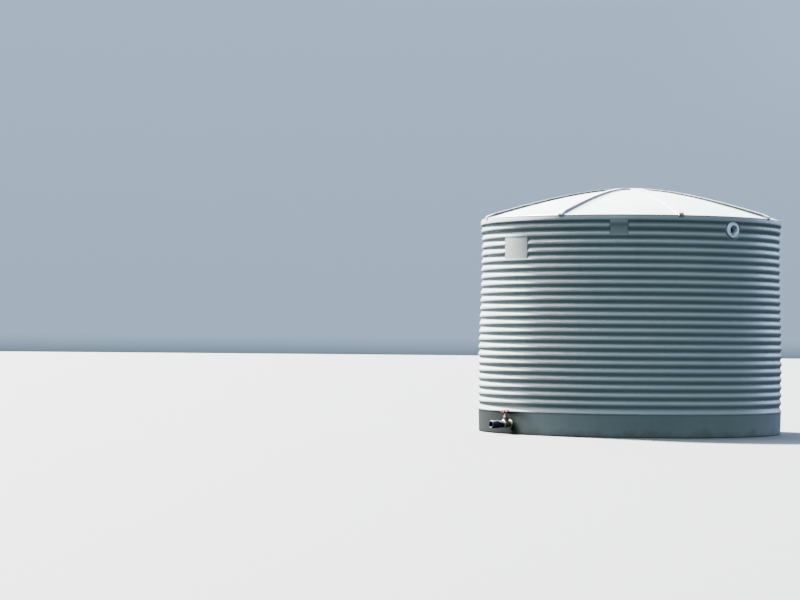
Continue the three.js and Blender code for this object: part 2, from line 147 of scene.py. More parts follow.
# The tap, its stem leaning back from the overflow's side.
TAP_HEIGHT = 0.118
TAP_LEAN = math.radians(15)
NIPPLE_RADIUS = 0.030
OUTLET_FLANGE_RADIUS = 0.042
OUTLET_FLANGE_THICKNESS = 0.012
OUTLET_GROOVES = 16
OUTLET_GROOVE_DEPTH = 0.0012
END_RING_RADIUS = 0.045
END_RING_THICKNESS = 0.013
VALVE_LENGTH = 0.084
VALVE_END_RADIUS = 0.038
VALVE_WAIST_RADIUS = 0.035
VALVE_BELLY_RADIUS = 0.041
NECK_RADIUS = 0.028
NECK_TOP = 0.046
BONNET_FLANGE_RADIUS = 0.033
BONNET_FOOT_RADIUS = 0.030
BONNET_TOP_RADIUS = 0.025
BONNET_TOP = 0.092
PACKING_NUT_RADIUS = 0.020
PACKING_NUT_TOP = 0.108
STEM_RADIUS = 0.008
STEM_TOP = 0.157
THREAD_PITCH = 0.003
THREAD_DEPTH = 0.0007
HUB_BOTTOM = 0.132
HUB_TOP = 0.146
HUB_RADIUS = 0.014
WHEEL_RADIUS = 0.048
WHEEL_RIM = 0.006
WHEEL_RISE = 0.014
WHEEL_SPOKES = 4
WHEEL_SCALLOPS = 14
SCALLOP_DEPTH = 0.0014
SPOKE_HALF = 0.0052
SPOKE_WAIST = 0.0014
SPOKE_THICKNESS = 0.0064
WHEEL_NUT_RADIUS = 0.013
WHEEL_NUT_TOP = 0.154

# The pipe coupling screwed to the tap: a black body with an eight-sided collar, and a dark blue nut.
COUPLING_BORE = 0.023
COUPLING_SOCKET = 0.032
COUPLING_BODY_RADIUS = 0.036
COUPLING_COLLAR_RADIUS = 0.041
COUPLING_COLLAR_LENGTH = 0.030
COUPLING_NECK_LENGTH = 0.028
COUPLING_BODY_LENGTH = 0.120
COUPLING_SOCKET_START = 0.036
COUPLING_NUT_RADIUS = 0.045
COUPLING_NUT_LENGTH = 0.110
GRIP_RIBS = 18
GRIP_DEPTH = 0.0028

# The light: a soft dome with a glow behind the tank and a faint one beside that, and two distant lights on
# the left. Heights in the dome are sines of the angle above the horizon, and spreads are cosines of the
# angle from a heading. Each pair says where a share of light is 0 and where it is 1.
HORIZON = -0.012
GROUND_LIGHT = (0.028, 0.046, 0.048, 1)
SKY_STOPS = (
    (HORIZON, GROUND_LIGHT),
    (0.0, (0.095, 0.135, 0.158, 1)),
    (0.20, (0.115, 0.165, 0.205, 1)),
    (0.45, (0.135, 0.200, 0.262, 1)),
    (0.75, (0.48, 0.67, 0.84, 1)),
)
ZENITH_LIGHT = (1.25, 1.65, 2.0, 1)
SKY_STRENGTH = 2.8
GLOW_LIGHT = (0.44, 0.56, 0.96, 1)
GLOW_STRENGTH = 2.5
GLOW_SPREAD = (0.15, 0.75)
GLOW_BOTTOM = (0.13, 0.22)
GLOW_TOP = (0.85, 0.40)
LOW_GLOW = 0.05
EDGE_LIGHT = (0.80, 0.93, 1.22, 1)
EDGE_STRENGTH = 0.12
EDGE_HEADING = math.radians(103)
EDGE_SPREAD = (0.80, 0.97)
EDGE_BOTTOM = (0.06, 0.13)
EDGE_TOP = (0.45, 0.30)
KEY_STRENGTH = 145.0
KEY_COLOUR = (1.0, 0.97, 0.93)
KEY_HEADING = math.radians(-172)
KEY_RISE = math.radians(52)
KEY_SOFTNESS = math.radians(6)
SIDE_STRENGTH = 8.0
SIDE_COLOUR = (0.95, 0.98, 1.0)
SIDE_HEADING = math.radians(-150)
SIDE_RISE = math.radians(52)
SIDE_SOFTNESS = math.radians(50)

# Painted shade: its dark colour, how far from the axis it ends on the ribs, and the rib beside which a
# shadow is painted on the roof.
PAINTED_SHADE = (0.020, 0.024, 0.026)
PAINTED_SHADE_END = (1.715, 1.69)
SHADOWED_RIB = math.radians(-67.5)
RIB_SHADOW_WIDTH = 0.17

# The stage's floor: a level disc, dark in itself, that the strong light makes pale.
FLOOR_COLOUR = (0.042, 0.045, 0.045)
FLOOR_REACH = 120.0
FLOOR_DEPTH = 0.30

# The camera: where the picture was taken from, with the frame's width and the focal length in pixels.
FRAME_WIDTH = 800
FOCAL_PIXELS = 2500
SENSOR_WIDTH = 36.0
CAMERA_PLACE = Vector((22.25, -19.48, 1.10))
CAMERA_HEADING = math.radians(144.05)
CAMERA_PITCH = math.radians(0.836)
CAMERA_ROLL = 0.0094


def smooth(low, high, value):
    """0 below low, 1 above high, and a smooth rise between."""
    share = np.clip((value - low) / (high - low), 0.0, 1.0)
    return share * share * (3 - 2 * share)


def crest_radius(height):
    spread = np.where(height > BELLY_HEIGHT, BELLY_SPREAD_ABOVE, BELLY_SPREAD_BELOW)
    belly = BELLY * np.exp(-(((height - BELLY_HEIGHT) / spread) ** 2))
    share = np.clip((height - FLARE_START) / (LAST_VALLEY - FLARE_START), 0.0, 1.0)
    return CREST_RADIUS + belly + FLARE * share**3


def band_radius(height):
    foot = crest_radius(0.0)
    share = (height - FOOT_ROUNDING) / (BAND_TOP - FOOT_ROUNDING)
    return foot + (crest_radius(BAND_TOP) - foot) * share


def inner_radius(height):
    return crest_radius(height) - RIDGE_DEPTH - SKIN


def dome_height(apex, fall, reach):
    return apex - fall * (np.hypot(reach, DOME_ROUNDING) - DOME_ROUNDING)


def roof_top(reach):
    return dome_height(ROOF_APEX, ROOF_FALL, reach)


RIM_TOP = float(roof_top(RIM_RADIUS - RIM_LEAN)) - ROOF_SKIN - GAP


def pointing(heading, rise=0.0):
    """The direction of a heading, at an angle above the horizon."""
    flat = math.cos(rise)
    return Vector((flat * math.cos(heading), flat * math.sin(heading), math.sin(rise)))


# Mesh tools

def clean(mesh, sharp_degrees):
    """Merges doubled points, points the faces out and shades the mesh smooth between its sharp edges."""
    form = bmesh.new()
    form.from_mesh(mesh)
    bmesh.ops.remove_doubles(form, verts=form.verts, dist=1e-6)
    bmesh.ops.recalc_face_normals(form, faces=form.faces)
    form.to_mesh(mesh)
    form.free()
    mesh.shade_smooth()
    mesh.set_sharp_from_angle(angle=math.radians(sharp_degrees))


def make_object(name, vertices, faces, sharp_degrees=35):
    mesh = bpy.data.meshes.new(name)
    mesh.from_pydata([tuple(v) for v in vertices], [], faces)
    clean(mesh, sharp_degrees)
    made = bpy.data.objects.new(name, mesh)
    bpy.context.scene.collection.objects.link(made)
    return made


def dress(piece, material, slot, *nodes, body="root"):
    """Gives a piece its material, its body and the solids that it stands for."""
    piece.data.materials.clear()
    piece.data.materials.append(material)
    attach(piece, body)
    if nodes:
        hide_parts(*nodes)
    return piece


def rounded(corners, steps=4):
    """An outline with its corners rounded. Each corner is (radius, height, rounding)."""
    points = []
    for i, (radius, height, size) in enumerate(corners):
        here = Vector((radius, height))
        if size == 0:
            points.append(here)
            continue
        before = Vector(corners[i - 1][:2])
        after = Vector(corners[(i + 1) % len(corners)][:2])
        start = here + (before - here).normalized() * size
        end = here + (after - here).normalized() * size
        for j in range(steps + 1):
            share = j / steps
            points.append(start.lerp(here, share).lerp(here.lerp(end, share), share))
    return points


def turned(outline, steps=96, form=None):
    """Turns an outline of (radius, height) about +Z into one closed body. form(radius, height, angle) may
    change the radius, as on a nut with flats."""
    vertices, rings = [], []
    for radius, height in outline:
        if radius < 1e-7:
            rings.append([len(vertices)])
            vertices.append((0.0, 0.0, height))
            continue
        ring = []
        for i in range(steps):
            angle = 2 * math.pi * i / steps
            reach = form(radius, height, angle) if form else radius
            ring.append(len(vertices))
            vertices.append((reach * math.cos(angle), reach * math.sin(angle), height))
        rings.append(ring)
    faces = []
    for low, high in zip(rings, rings[1:] + rings[:1]):
        if len(low) == 1 and len(high) == 1:
            continue
        for i in range(steps):
            j = (i + 1) % steps
            if len(low) == 1:
                faces.append((low[0], high[j], high[i]))
            elif len(high) == 1:
                faces.append((low[i], low[j], high[0]))
            else:
                faces.append((low[i], low[j], high[j], high[i]))
    return vertices, faces


def strung(rings, closed=False):
    """One closed body strung through rings of as many points each, with flat ends, or else all the way
    round to the first ring."""
    count = len(rings[0])
    total = count * len(rings)
    vertices = [point for ring in rings for point in ring]
    faces = [] if closed else [tuple(range(count)), tuple(range(total - count, total))]
    for low in range(0, total if closed else total - count, count):
        high = (low + count) % total
        for j in range(count):
            after = (j + 1) % count
            faces.append((low + j, low + after, high + after, high + j))
    return vertices, faces


def placed(made, matrix):
    vertices, faces = made
    return [matrix @ Vector(v) for v in vertices], faces


def turned_piece(name, outline, matrix, steps, material, slot, *nodes, form=None, body="root"):
    """A piece turned from an outline, put in its place and dressed."""
    made = placed(turned(rounded(outline), steps, form), matrix)
    dress(make_object(name, *made), material, slot, *nodes, body=body)


def with_flats(corner_radius, sides=6):
    """Limits a turned body to the flats of a nut whose corners reach that radius."""
    flat = corner_radius * math.cos(math.pi / sides)

    def form(radius, _height, angle):
        turn = (angle + math.pi / sides) % (2 * math.pi / sides) - math.pi / sides
        return min(radius, flat / math.cos(turn))

    return form


def apply_modifiers(piece):
    """Keeps what a piece's modifiers make of it as its own mesh."""
    graph = bpy.context.evaluated_depsgraph_get()
    mesh = bpy.data.meshes.new_from_object(piece.evaluated_get(graph))
    piece.modifiers.clear()
    piece.data = mesh


def fuse(name, parts, voxel, softening, sharp_degrees=180):
    """Grows overlapping bodies together into one casting, with softened joins."""
    vertices, faces = [], []
    for part_vertices, part_faces in parts:
        start = len(vertices)
        vertices.extend(part_vertices)
        faces.extend(tuple(start + i for i in face) for face in part_faces)
    piece = make_object(name, vertices, faces)
    remesh = piece.modifiers.new("fuse", "REMESH")
    remesh.mode = "VOXEL"
    remesh.voxel_size = voxel
    soften = piece.modifiers.new("soften", "SMOOTH")
    soften.factor = 0.5
    soften.iterations = softening
    apply_modifiers(piece)
    clean(piece.data, sharp_degrees)
    return piece


# Where things point. Pieces are made about +Z and then turned.

def towards_overflow():
    return Matrix.Translation((0, 0, OVERFLOW_HEIGHT)) @ Matrix.Rotation(math.pi / 2, 4, "Y")


def towards_tap():
    return Matrix.Translation((0, 0, TAP_HEIGHT)) @ Matrix.Rotation(math.pi / 2, 4, "X")


OUTLET_FLANGE_BACK = float(band_radius(TAP_HEIGHT + OUTLET_FLANGE_RADIUS)) + GAP
INLET_RING_BACK = OUTLET_FLANGE_BACK + OUTLET_FLANGE_THICKNESS + GAP
VALVE_BACK = INLET_RING_BACK + END_RING_THICKNESS + GAP
OUTLET_RING_BACK = VALVE_BACK + VALVE_LENGTH + GAP
COUPLING_BACK = OUTLET_RING_BACK + END_RING_THICKNESS + GAP


def up_the_stem():
    foot = Matrix.Translation((0, -(VALVE_BACK + VALVE_LENGTH / 2), TAP_HEIGHT))
    return foot @ Matrix.Rotation(-TAP_LEAN, 4, "Y")


# The wall

def ridge_wave(height):
    """1 on the crests and on the band, 0 in the valleys."""
    from_crest = np.abs((height - FIRST_VALLEY) % RIDGE_PITCH - RIDGE_PITCH / 2)
    ridges = 1 - smooth(CREST_HALF, RIDGE_PITCH / 2, from_crest)
    shoulder = 1 - smooth(BEAD_HEIGHT, FIRST_VALLEY, height)
    return np.where(height < FIRST_VALLEY, shoulder, ridges)


def pad_shares(angle, height, pad):
    """How far a point belongs to a pad's face, and how far the ridges beside the pad have faded out."""
    side = np.abs(angle - math.radians(pad["centre"])) * CREST_RADIUS
    half = math.radians(pad["width"]) / 2 * CREST_RADIUS
    across = 1 - smooth(half - PAD_WALL, half, side)
    lower = smooth(pad["bottom"], pad["bottom"] + PAD_EDGE, height)
    upper = 1 - smooth(pad["top"] - PAD_EDGE, pad["top"], height)
    face = across * lower * upper
    beside = 1 - smooth(half, half + RIDGE_TAPER, side)
    low = pad["bottom"] + FADE_ABOVE_BOTTOM
    high = min(pad["top"] - FADE_BELOW_TOP, LAST_VALLEY)
    between = smooth(low, low + RIDGE_FADE, height) * (1 - smooth(high - RIDGE_FADE, high, height))
    return face, beside * between


def wall_radius(angle, height):
    """The outside of the wall at an angle and a height, both arrays."""
    crest = crest_radius(height)
    valley = crest - RIDGE_DEPTH
    wave = ridge_wave(height)

    across_boss = CREST_RADIUS * np.sin(angle)
    from_boss = np.where(np.cos(angle) > 0, np.hypot(across_boss, height - OVERFLOW_HEIGHT), 1.0)
    boss_fade = 1 - smooth(BOSS_RADIUS, BOSS_RADIUS + BOSS_FADE, from_boss)
    fade = boss_fade * (height > FIRST_VALLEY)
    faces = []
    for pad in PADS:
        face, beside = pad_shares(angle, height, pad)
        faces.append((face, pad))
        fade = np.maximum(fade, beside)
    wave = np.maximum(wave - fade, 0.0)

    radius = valley + RIDGE_DEPTH * wave
    foot = FOOT_ROUNDING - np.clip(FOOT_ROUNDING - height, 0, FOOT_ROUNDING)
    rounding = FOOT_ROUNDING - np.sqrt(np.maximum(FOOT_ROUNDING**2 - (FOOT_ROUNDING - foot) ** 2, 0))
    bead = BEAD_PROUD * np.exp(-(((height - BEAD_HEIGHT) / BEAD_SPREAD) ** 2))
    on_band = height < BEAD_HEIGHT
    radius = np.where(on_band, np.minimum(band_radius(height), crest) - rounding, radius) + bead

    rim = smooth(LAST_VALLEY, RIM_BOTTOM, height)
    radius = np.where(height > LAST_VALLEY, valley + (RIM_RADIUS - valley) * rim, radius)
    up_the_rim = np.clip((height - RIM_BOTTOM) / (RIM_TOP - RIM_BOTTOM), 0.0, 1.0)
    radius = radius - RIM_LEAN * up_the_rim**1.5

    line = np.zeros_like(angle)
    for place in MOULD_LINES:
        aside = (angle - math.radians(place)) * CREST_RADIUS
        line = np.maximum(line, np.exp(-((aside / MOULD_LINE_HALF) ** 2)))
    radius = radius + MOULD_LINE_PROUD * line * (height > BEAD_HEIGHT)

    for face, pad in faces:
        level = crest + PAD_PROUD
        merged = level + (RIM_RADIUS - level) * smooth(LAST_VALLEY - RIDGE_PITCH / 2, RIM_BOTTOM, height)
        radius = radius + (np.maximum(merged, radius) - radius) * face
    boss = 1 - smooth(BOSS_RADIUS - BOSS_EDGE, BOSS_RADIUS + BOSS_EDGE, from_boss)
    start, end = BOSS_BELOW_RIM
    boss = boss * (1 - smooth(RIM_BOTTOM - start, RIM_BOTTOM - end, height))
    return radius + (BOSS_FACE / np.maximum(np.cos(angle), 0.5) - radius) * boss


def fine_then_coarse(low, high, coarse, zones):
    """Places from low to high, coarse apart, and closer within each zone (start, end, step)."""
    places = []
    for start, end, step in zones:
        places.extend(np.arange(start, end + step / 2, step))
    for place in np.arange(low, high, coarse):
        if not any(start - coarse / 2 < place < end + coarse / 2 for start, end, _ in zones):
            places.append(place)
    return np.array(sorted(places))


def wall_columns():
    """The angles of the wall's columns, closer at the boss, the pads' sides and the mould lines."""
    zones = [(-4.4, 4.4, 0.16)]
    for pad in PADS:
        for end in (-1, 1):
            # In degrees: finest across a pad's side, then fine beside it.
            edge = pad["centre"] + end * pad["width"] / 2
            zones.append(tuple(sorted((edge - end * 0.4, edge + end * 0.6))) + (0.1,))
            zones.append(tuple(sorted((edge + end * 0.8, edge + end * 2.6))) + (0.3,))
    for place in MOULD_LINES:
        zones.append((place - 0.18, place + 0.18, 0.06))
    return np.radians(fine_then_coarse(-180.0, 180.0, COLUMN_STEP, zones))


def wall_rows():
    """The heights of the wall's rows, from the foot to the top of the rim."""
    foot = FOOT_ROUNDING * (1 - np.cos(np.linspace(0, math.pi / 2, 5)))
    band = np.linspace(0.03, BEAD_HEIGHT - 0.026, 6)
    shoulder = np.arange(BEAD_HEIGHT - 0.020, FIRST_VALLEY - 0.002, 0.005)
    ridges = np.arange(FIRST_VALLEY, LAST_VALLEY + 0.001, RIDGE_PITCH / ROWS_TO_A_RIDGE)
    rim = np.linspace(LAST_VALLEY + 0.006, RIM_BOTTOM, 8)
    lean = np.linspace(RIM_BOTTOM, RIM_TOP, 7)[1:]
    return np.concatenate([foot, band, shoulder, ridges, rim, lean])


def make_wall(material):
    columns, rows = wall_columns(), wall_rows()
    angle, height = np.meshgrid(columns, rows)
    outside = wall_radius(angle, height)
    top_inside = inner_radius(RIM_BOTTOM)
    inner_rows = np.linspace(float(roof_top(top_inside)) - ROOF_SKIN - GAP, 0.0, 8)
    inner_angle, inner_height = np.meshgrid(columns, inner_rows)
    radius = np.vstack([outside, inner_radius(np.minimum(inner_height, RIM_BOTTOM))])
    angle = np.vstack([angle, inner_angle])
    height = np.vstack([height, inner_height])
    rings = np.stack([radius * np.cos(angle), radius * np.sin(angle), height], axis=-1)
    wall = make_object("moulded_wall", *strung(rings, closed=True))
    cut_hole(wall, placed(turned(bar(OVERFLOW_TUBE + GAP, *OVERFLOW_CUT)), towards_overflow()))
    cut_hole(wall, placed(turned(bar(NIPPLE_RADIUS + GAP, *TAP_CUT)), towards_tap()))
    clean(wall.data, 40)
    nodes = [f"wall_segment_{i + 1}" for i in range(SEGMENT_COUNT)]
    return dress(wall, material, "polyethylene", *nodes)


def bar(radius, bottom, top):
    return [(0.0, bottom), (radius, bottom), (radius, top), (0.0, top)]


def cut_hole(piece, cutter):
    tool = make_object("cutter", *cutter)
    cut = piece.modifiers.new("hole", "BOOLEAN")
    cut.operation = "DIFFERENCE"
    cut.solver = "EXACT"
    cut.object = tool
    apply_modifiers(piece)
    bpy.data.objects.remove(tool)


# The roof

def make_roof(material):
    inner, outer = CROWN_RADIUS + GAP, RIM_RADIUS - RIM_LEAN + 0.001
    under = [(reach, float(roof_top(reach)) - ROOF_SKIN, 0) for reach in np.linspace(inner, outer, 14)]
    top = [(reach, float(roof_top(reach)), 0) for reach in np.linspace(outer, inner, 40)]
    top[0] = (outer, float(roof_top(outer)), ROOF_EDGE_ROUNDING)
    roof = make_object("moulded_roof", *turned(rounded(under + top, 6), 256))
    nodes = [f"roof_panel_{i + 1}" for i in range(SEGMENT_COUNT)]
    return dress(roof, material, "polyethylene", *nodes)


def rib_section(reach, height_left):
    """A rib's section at a distance from the axis, as (aside, height): steep sides on a small fillet, and
    squarer towards the rim. height_left is the share of its height that is left on its sloping end."""
    end_share = max(0.0, (reach - RIB_REACH + RIB_END_RUN) / RIB_END_RUN)
    lift = float(dome_height(RIB_APEX, RIB_FALL, reach) - roof_top(reach)) - RIB_END_DROP * end_share**1.4
    lift *= height_left
    square = float(smooth(RIB_REACH - 0.09, RIB_REACH - 0.03, reach))
    fillet = RIB_FILLET * (1 - 0.8 * square)
    top = RIB_TOP_WIDTH / 2 + (RIB_NOSE_HALF - 0.001 - RIB_TOP_WIDTH / 2) * square
    foot = RIB_WIDTH / 2 + (RIB_NOSE_HALF - RIB_WIDTH / 2) * square
    half = [
        (foot + fillet, -0.001, 0),
        (foot, 0.001, fillet * 0.8),
        (top, lift, min(RIB_CORNER, lift / 3)),
        (0.0, lift, 0),
    ]
    points = rounded(half, 5)
    return [(p.x, p.y) for p in points] + [(-p.x, p.y) for p in reversed(points[:-1])]


def make_ribs(material):
    corner = RIB_REACH - RIB_NOSE
    stations = [(reach, 1.0) for reach in np.linspace(CROWN_RADIUS - 0.012, corner - 0.002, 40)]
    stations += [(corner + 0.002, 0.985), (corner + 0.005, 0.93)]
    stations += [(corner + RIB_NOSE * share, 0.93 - 0.80 * (share - 0.2)) for share in (0.4, 0.6, 0.8, 1.0)]
    rings = []
    for reach, height_left in stations:
        ring = []
        for aside, lift in rib_section(reach, height_left):
            under = float(roof_top(min(math.hypot(reach, aside), RIM_RADIUS)))
            ring.append((reach, aside, under + lift))
        rings.append(ring + [(reach, aside, under - RIB_ROOT), (reach, -aside, under - RIB_ROOT)])
    for i in range(SEGMENT_COUNT):
        turn = Matrix.Rotation((i + 0.5) * SEGMENT_ANGLE, 4, "Z")
        rib = make_object(f"moulded_rib_{i + 1}", *placed(strung(rings), turn), sharp_degrees=50)
        dress(rib, material, "polyethylene", f"roof_rib_{i + 1}")


def make_crown(material):
    top = RIB_APEX + CROWN_RISE
    outline = [
        (0.0, CROWN_BOTTOM, 0),
        (CROWN_RADIUS, CROWN_BOTTOM, 0),
        (CROWN_RADIUS, top - 0.004, 0.006),
        (0.056, top - 0.001, 0.003),
        (0.053, top - 0.004, 0.002),
        (0.030, top - 0.003, 0.002),
        (0.027, top, 0.002),
        (0.0, top, 0),
    ]
    crown = make_object("moulded_crown", *turned(rounded(outline, 5), 128))
    dress(crown, material, "polyethylene", "roof_crown")


# The overflow

def make_overflow(white, shaded_lining, black):
    there = towards_overflow()
    back = BOSS_FACE + GAP
    flange_back = back + GASKET_THICKNESS
    face = back + FLANGE_THICKNESS
    bore = OVERFLOW_TUBE + GAP
    flange = [
        (bore, flange_back, 0.0008),
        (FLANGE_RADIUS, flange_back, 0.0015),
        (FLANGE_RADIUS, face - 0.002, 0.006),
        (FLANGE_RADIUS - 0.011, face, 0.003),
        (FLANGE_RADIUS - 0.013, face - 0.0015, 0.0006),
        (FLANGE_RADIUS - 0.016, face - 0.0015, 0.0006),
        (FLANGE_RADIUS - 0.018, face, 0.0006),
        (bore, face, 0.0015),
    ]

    def notched(radius, height, angle):
        aside = abs((angle - NOTCH_ANGLE + math.pi) % (2 * math.pi) - math.pi)
        on_rim = radius > FLANGE_RADIUS - 0.010 and height > flange_back + 0.004
        return radius - NOTCH_DEPTH if on_rim and aside < NOTCH_HALF else radius

    turned_piece(
        "overflow_ring", flange, there, 180, white, "white_plastic", "overflow_flange", form=notched
    )

    # A black gasket under the flange. Its dark edge round the ring is partly the gasket and partly a
    # painted shadow.
    gasket = [
        (bore, back, 0.0004),
        (FLANGE_RADIUS - 0.0015, back, 0.0004),
        (FLANGE_RADIUS - 0.0015, flange_back - 0.0001, 0.0004),
        (bore, flange_back - 0.0001, 0.0004),
    ]
    turned_piece("overflow_gasket", gasket, there, 128, black, "black_plastic")

    # The tube is in the darker, bluer white plastic, which paints shade into the bore.
    tube = [
        (OVERFLOW_BORE, OVERFLOW_INNER_END, 0.0005),
        (OVERFLOW_TUBE, OVERFLOW_INNER_END, 0.0005),
        (OVERFLOW_TUBE, OVERFLOW_OUTER_END, 0.0009),
        (OVERFLOW_BORE, OVERFLOW_OUTER_END, 0.0018),
    ]
    turned_piece("overflow_pipe", tube, there, 128, shaded_lining, "white_plastic", "overflow_tube")


# The tap

def make_outlet(black, brass):
    back, bore = OUTLET_FLANGE_BACK, NIPPLE_RADIUS + GAP
    face = back + OUTLET_FLANGE_THICKNESS
    step = OUTLET_FLANGE_RADIUS - 0.003
    flange = [
        (bore, back, 0.0005),
        (OUTLET_FLANGE_RADIUS, back, 0.001),
        (OUTLET_FLANGE_RADIUS, back + 0.006, 0.002),
        (step, back + 0.0075, 0.0008),
        (step, face, 0.0015),
        (bore, face, 0.001),
    ]

    def grooves(radius, _height, angle):
        deep = radius > step - 0.001 and math.cos(OUTLET_GROOVES * angle) > 0.55
        return radius - OUTLET_GROOVE_DEPTH * deep

    there = towards_tap()
    turned_piece(
        "outlet_collar", flange, there, 192, black, "black_plastic", "outlet_flange", form=grooves
    )
    ends = {
        "valve_inlet_collar": (INLET_RING_BACK, bore, "valve_inlet_ring"),
        "valve_outlet_collar": (OUTLET_RING_BACK, COUPLING_BORE, "valve_outlet_ring"),
    }
    for name, (start, hole, node) in ends.items():
        end = start + END_RING_THICKNESS
        collar = [
            (hole, start, 0.0006),
            (END_RING_RADIUS - 0.001, start, 0.0015),
            (END_RING_RADIUS, start + 0.0025, 0.0012),
            (END_RING_RADIUS, start + 0.0055, 0.0008),
            (END_RING_RADIUS - 0.0016, start + 0.0062, 0.0004),
            (END_RING_RADIUS - 0.0016, start + 0.0078, 0.0004),
            (END_RING_RADIUS, start + 0.0085, 0.0008),
            (END_RING_RADIUS, end - 0.0025, 0.0012),
            (END_RING_RADIUS - 0.001, end, 0.0015),
            (hole, end, 0.0006),
        ]
        turned_piece(name, collar, there, 128, brass, "bright_brass", node)


def make_valve_body(bronze):
    start, end = VALVE_BACK, VALVE_BACK + VALVE_LENGTH
    middle = (start + end) / 2
    barrel = [
        (0.0, start, 0),
        (VALVE_END_RADIUS - 0.001, start, 0.002),
        (VALVE_END_RADIUS - 0.001, start + 0.010, 0.002),
        (VALVE_WAIST_RADIUS - 0.002, start + 0.016, 0.004),
        (VALVE_BELLY_RADIUS - 0.001, middle - 0.015, 0.008),
        (VALVE_BELLY_RADIUS - 0.001, middle + 0.015, 0.008),
        (VALVE_WAIST_RADIUS - 0.002, end - 0.016, 0.004),
        (VALVE_END_RADIUS - 0.001, end - 0.010, 0.002),
        (VALVE_END_RADIUS - 0.001, end, 0.002),
        (0.0, end, 0),
    ]
    neck = [
        (0.0, 0.0, 0),
        (NECK_RADIUS, 0.0, 0),
        (NECK_RADIUS - 0.001, 0.036, 0.004),
        (NECK_RADIUS + 0.004, 0.039, 0.002),
        (NECK_RADIUS + 0.004, NECK_TOP - 0.0004, 0.0015),
        (0.0, NECK_TOP - 0.0004, 0),
    ]
    along = placed(turned(rounded(barrel), 72), towards_tap())
    up = placed(turned(rounded(neck), 72), up_the_stem())
    body = fuse("valve_casting", [along, up], voxel=0.0013, softening=5)
    dress(body, bronze, "bronze", "valve_body")


def make_bonnet(bronze):
    bottom = NECK_TOP + GAP
    bore = STEM_RADIUS + GAP
    wide, foot, narrow = BONNET_FLANGE_RADIUS, BONNET_FOOT_RADIUS, BONNET_TOP_RADIUS
    bonnet = [
        (bore, bottom, 0.0003),
        (wide - 0.0015, bottom, 0.001),
        (wide, bottom + 0.0015, 0.0008),
        (wide, bottom + 0.0105, 0.0008),
        (wide - 0.0025, bottom + 0.0120, 0.001),
        (foot - 0.0010, bottom + 0.0125, 0.0008),
        (foot - 0.0015, bottom + 0.0200, 0.003),
        (narrow + 0.0010, BONNET_TOP - 0.010, 0.004),
        (narrow - 0.0010, BONNET_TOP - 0.004, 0.002),
        (narrow - 0.0060, BONNET_TOP, 0.0015),
        (bore, BONNET_TOP, 0.0003),
    ]
    there = up_the_stem()
    form = with_flats(wide)
    turned_piece("bonnet_casting", bonnet, there, 144, bronze, "bronze", "valve_bonnet", form=form)
    nut_wide = PACKING_NUT_RADIUS
    nut = [
        (bore, BONNET_TOP + GAP, 0.0003),
        (nut_wide - 0.0010, BONNET_TOP + GAP, 0.0006),
        (nut_wide, BONNET_TOP + 0.0015, 0.0004),
        (nut_wide, PACKING_NUT_TOP - 0.0035, 0.0004),
        (nut_wide - 0.0025, PACKING_NUT_TOP - 0.0018, 0.0006),
        (0.0120, PACKING_NUT_TOP, 0.0012),
        (bore, PACKING_NUT_TOP, 0.0003),
    ]
    form = with_flats(nut_wide)
    turned_piece("packing_nut", nut, there, 144, bronze, "bronze", "valve_packing_nut", form=form)


def make_handwheel(red, steel):
    def threaded(radius, height, angle):
        if radius < STEM_RADIUS - 0.001 or not PACKING_NUT_TOP + 0.002 < height < STEM_TOP - 0.003:
            return radius
        phase = (height / THREAD_PITCH - angle / (2 * math.pi)) % 1.0
        return radius - THREAD_DEPTH * (1 - abs(2 * phase - 1))

    stem = [(0.0, NECK_TOP + GAP, 0), (STEM_RADIUS, NECK_TOP + GAP, 0.0005)]
    for height in np.arange(PACKING_NUT_TOP, STEM_TOP - 0.0025, THREAD_PITCH / 4):
        stem.append((STEM_RADIUS, height, 0))
    stem.append((STEM_RADIUS, STEM_TOP - 0.001, 0.0006))
    stem += [(STEM_RADIUS - 0.001, STEM_TOP, 0.0004), (0.0, STEM_TOP, 0)]
    there = up_the_stem()
    turned_piece(
        "threaded_stem", stem, there, 48, steel, "steel", "valve_stem", form=threaded, body="handwheel"
    )

    nut_bottom = HUB_TOP + GAP
    nut = [
        (STEM_RADIUS + GAP, nut_bottom, 0.0002),
        (WHEEL_NUT_RADIUS - 0.0006, nut_bottom, 0.0004),
        (WHEEL_NUT_RADIUS, nut_bottom + 0.0008, 0.0003),
        (WHEEL_NUT_RADIUS, WHEEL_NUT_TOP - 0.0016, 0.0003),
        (WHEEL_NUT_RADIUS - 0.0015, WHEEL_NUT_TOP, 0.0005),
        (STEM_RADIUS + GAP, WHEEL_NUT_TOP, 0.0002),
    ]
    form = with_flats(WHEEL_NUT_RADIUS)
    turned_piece(
        "wheel_nut", nut, there, 96, steel, "steel", "valve_wheel_nut", form=form, body="handwheel"
    )

    wheel = fuse("handwheel_casting", handwheel_parts(), voxel=0.0009, softening=4)
    dress(wheel, red, "red_paint", "valve_handwheel", body="handwheel")


